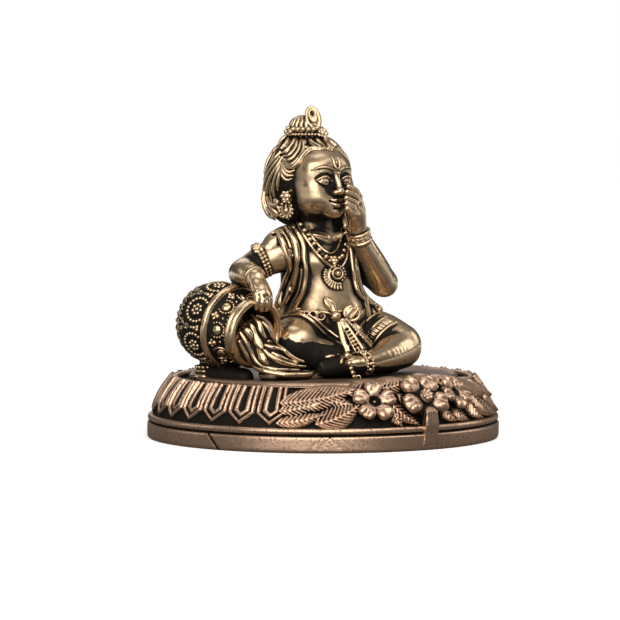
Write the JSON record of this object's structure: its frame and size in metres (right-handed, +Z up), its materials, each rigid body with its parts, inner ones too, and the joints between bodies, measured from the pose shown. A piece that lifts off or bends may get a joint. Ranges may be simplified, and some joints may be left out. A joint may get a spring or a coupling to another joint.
{
  "type": "seated deity statuette",
  "caption": "Small cast brass statuette of a seated child deity leaning on a tipped butter pot, on a round lotus plinth with a front garland.",
  "frame": {"origin": "middle of the plinth's flat underside", "axes": "+Z up, the figure faces -Y, its own left hand side is +X"},
  "size_m": [0.064, 0.064, 0.0598],
  "materials": {
    "plinth_metal": "coppery cast brass, matte, dark patina in the recesses, polished petal rims",
    "figure_metal": "yellow cast brass, polished on the high places, near-black patina in the recesses"
  },
  "bodies": {
    "root": {"lotus_base": "plinth_metal", "seated_figure": "figure_metal"}
  },
  "joints": []
}
